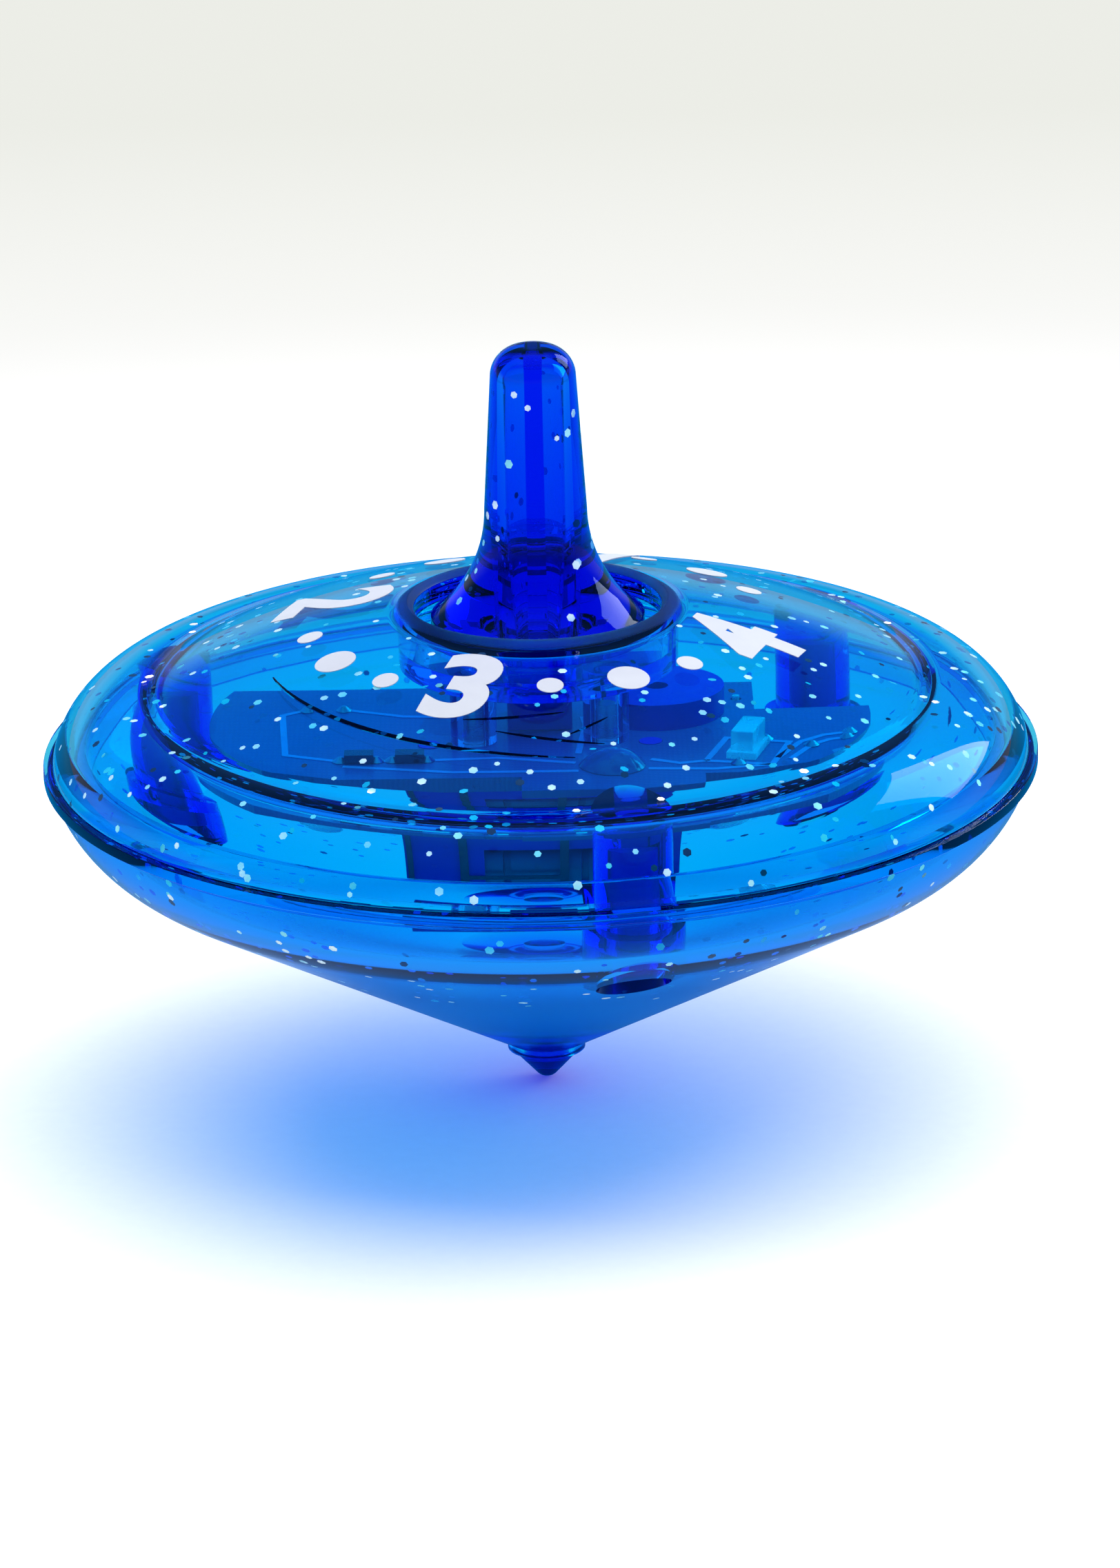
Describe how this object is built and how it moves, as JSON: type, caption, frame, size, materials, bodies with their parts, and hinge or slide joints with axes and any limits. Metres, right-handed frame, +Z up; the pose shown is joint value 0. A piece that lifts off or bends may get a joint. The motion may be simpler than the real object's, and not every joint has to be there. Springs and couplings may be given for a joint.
{
  "type": "light-up spinning top",
  "caption": "Disc-shaped dreidel top in clear blue glitter shells on a pointed tip, with a press-to-light finger stem, a lamp board and a battery box inside.",
  "frame": {"origin": "bottom of the tip, on the spin axis", "axes": "+Z up the spin axis towards the stem, -Y to the front as pictured, +X to the right"},
  "size_m": [0.07, 0.07, 0.0541],
  "materials": {
    "clear_blue": "clear blue styrene with silver glitter in it, polished",
    "tip_blue": "solid dark blue, polished",
    "steel": "bright plated",
    "board": "glass fibre board with a satin mask",
    "black_resin": "glossy black resin",
    "dark_plastic": "satin dark moulding",
    "spring_brass": "plain brass",
    "lamp_clear": "clear resin lens",
    "cell_steel": "bright nickel plate"
  },
  "bodies": {
    "case": {"upper_shell": "clear_blue", "lower_shell": "clear_blue", "spinning_tip": "tip_blue", "case_screws": "steel", "circuit_board": "board", "board_screws": "steel", "chip_cover": "black_resin", "resistors": "black_resin", "switch_body": "dark_plastic", "switch_cover": "steel", "switch_dome": "spring_brass", "upper_lamp": "lamp_clear", "left_lamp": "lamp_clear", "right_lamp": "lamp_clear", "buzzer_case": "dark_plastic", "buzzer_plate": "spring_brass", "battery_box": "dark_plastic", "front_contact": "steel", "end_contact": "steel", "cell_1": "cell_steel", "cell_2": "cell_steel", "cell_3": "cell_steel"},
    "push_stem": {"stem": "clear_blue", "stem_clip": "steel"},
    "plunger": {"switch_plunger": "dark_plastic"}
  },
  "joints": [
    {"name": "stem_press", "type": "slide", "parent": "case", "child": "push_stem", "axis": [0, 0, 1], "range_m": [-0.0005, 0], "stiffness_N_per_m": 3000},
    {"name": "plunger_press", "type": "slide", "parent": "case", "child": "plunger", "axis": [0, 0, 1], "range_m": [-0.0005, 0], "deforming": ["switch_dome"]}
  ],
  "couplings": [
    {"joint": "plunger_press", "follows": "stem_press", "ratio": 1}
  ]
}
